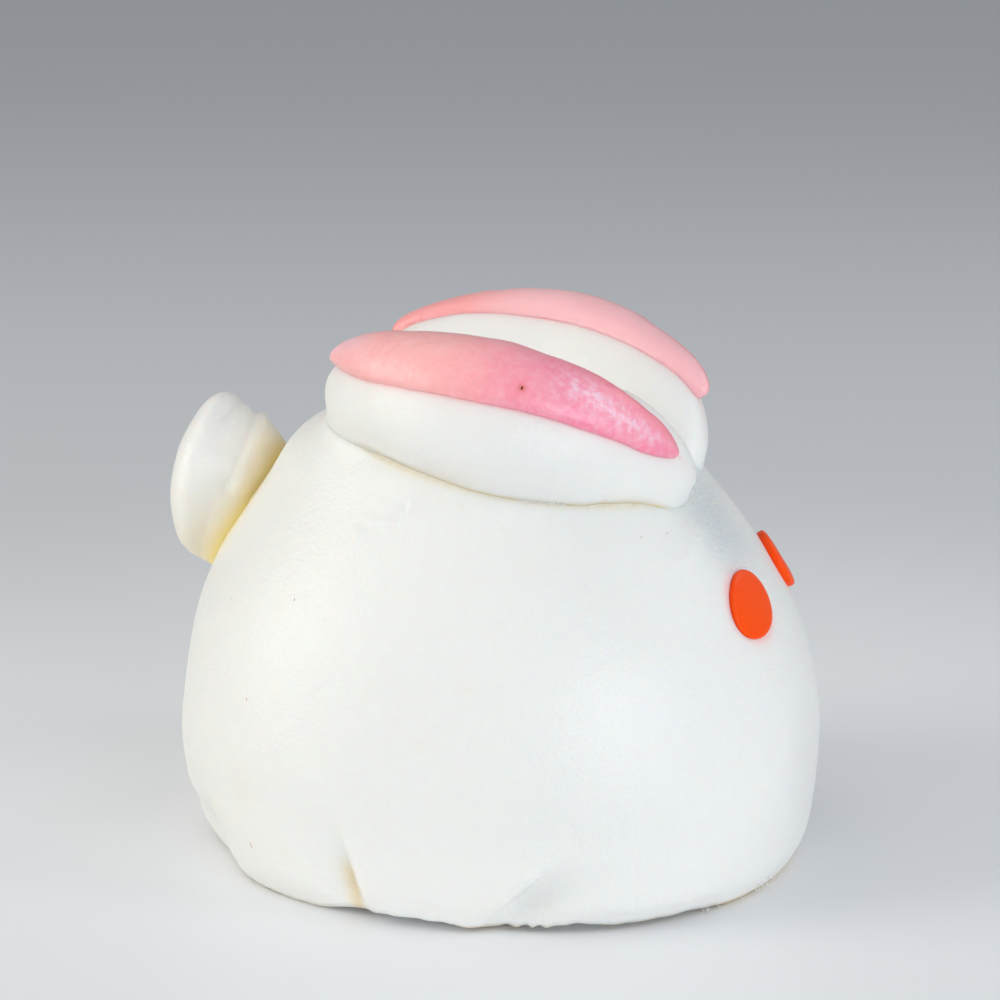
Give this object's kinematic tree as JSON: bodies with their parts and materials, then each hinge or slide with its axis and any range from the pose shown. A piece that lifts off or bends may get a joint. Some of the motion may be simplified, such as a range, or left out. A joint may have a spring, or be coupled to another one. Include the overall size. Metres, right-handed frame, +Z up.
{
  "type": "steamed bun",
  "caption": "Steamed bun shaped as a resting rabbit: a domed white body pleated at the foot, long ears with pink stripes, a round tail and flat orange eyes.",
  "frame": {"origin": "centre of the flat base that the bun rests on", "axes": "+Z up; the rabbit's face looks along -Y and its tail is towards +Y, so its left ear is towards +X"},
  "size_m": [0.066, 0.0775, 0.0626],
  "materials": {
    "dough": "white steamed dough, smooth and slightly moist, with a soft sheen",
    "pink_dough": "pink steamed dough, slightly mottled, with a soft sheen",
    "eye_disc": "orange dough disc, smooth and slightly glossy"
  },
  "bodies": {
    "root": {"bun_body": "dough", "ear_right": "dough", "ear_left": "dough", "tail": "dough", "ear_stripe_right": "pink_dough", "ear_stripe_left": "pink_dough", "eye_right": "eye_disc", "eye_left": "eye_disc"}
  },
  "joints": []
}
